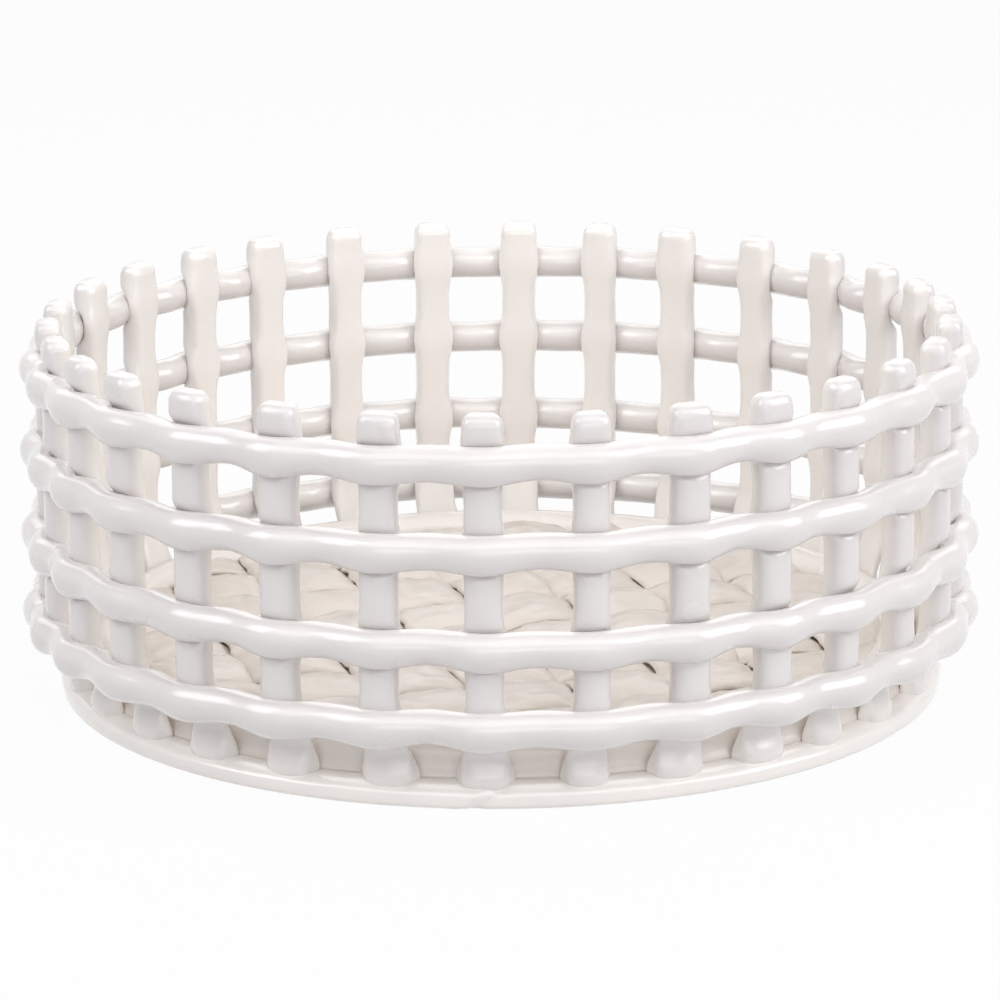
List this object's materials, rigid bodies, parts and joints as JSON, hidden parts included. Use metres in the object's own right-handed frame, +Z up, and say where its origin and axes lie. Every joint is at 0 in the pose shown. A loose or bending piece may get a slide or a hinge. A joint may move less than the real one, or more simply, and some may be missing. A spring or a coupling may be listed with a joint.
{
  "type": "ceramic basket",
  "caption": "Round low basket of white glazed clay: upright posts on a flat plate, wavy rings pressed round them outside, and a woven strip floor; holds fruit or bread on a table.",
  "frame": {"origin": "centre of the base plate's underside, on the surface that the basket stands on", "axes": "+Z up, out of the bowl; -Y is the side that faces the viewer in the picture; the basket is round, so X and Y are equal by use"},
  "size_m": [0.3017, 0.3021, 0.1186],
  "materials": {
    "wall_glaze": "gloss",
    "floor_glaze": "gloss"
  },
  "bodies": {
    "root": {"base_plate": "wall_glaze", "floor_coil": "floor_glaze", "floor_strip_a1": "floor_glaze", "floor_strip_a2": "floor_glaze", "floor_strip_a3": "floor_glaze", "floor_strip_a4": "floor_glaze", "floor_strip_a5": "floor_glaze", "floor_strip_a6": "floor_glaze", "floor_strip_a7": "floor_glaze", "floor_strip_a8": "floor_glaze", "floor_strip_b1": "floor_glaze", "floor_strip_b2": "floor_glaze", "floor_strip_b3": "floor_glaze", "floor_strip_b4": "floor_glaze", "floor_strip_b5": "floor_glaze", "floor_strip_b6": "floor_glaze", "floor_strip_b7": "floor_glaze", "floor_strip_b8": "floor_glaze", "post_01": "wall_glaze", "post_02": "wall_glaze", "post_03": "wall_glaze", "post_04": "wall_glaze", "post_05": "wall_glaze", "post_06": "wall_glaze", "post_07": "wall_glaze", "post_08": "wall_glaze", "post_09": "wall_glaze", "post_10": "wall_glaze", "post_11": "wall_glaze", "post_12": "wall_glaze", "post_13": "wall_glaze", "post_14": "wall_glaze", "post_15": "wall_glaze", "post_16": "wall_glaze", "post_17": "wall_glaze", "post_18": "wall_glaze", "post_19": "wall_glaze", "post_20": "wall_glaze", "post_21": "wall_glaze", "post_22": "wall_glaze", "post_23": "wall_glaze", "post_24": "wall_glaze", "post_25": "wall_glaze", "post_26": "wall_glaze", "post_27": "wall_glaze", "post_28": "wall_glaze", "post_29": "wall_glaze", "post_30": "wall_glaze", "ring_lowest": "wall_glaze", "ring_lower": "wall_glaze", "ring_upper": "wall_glaze", "ring_top": "wall_glaze"}
  },
  "joints": []
}
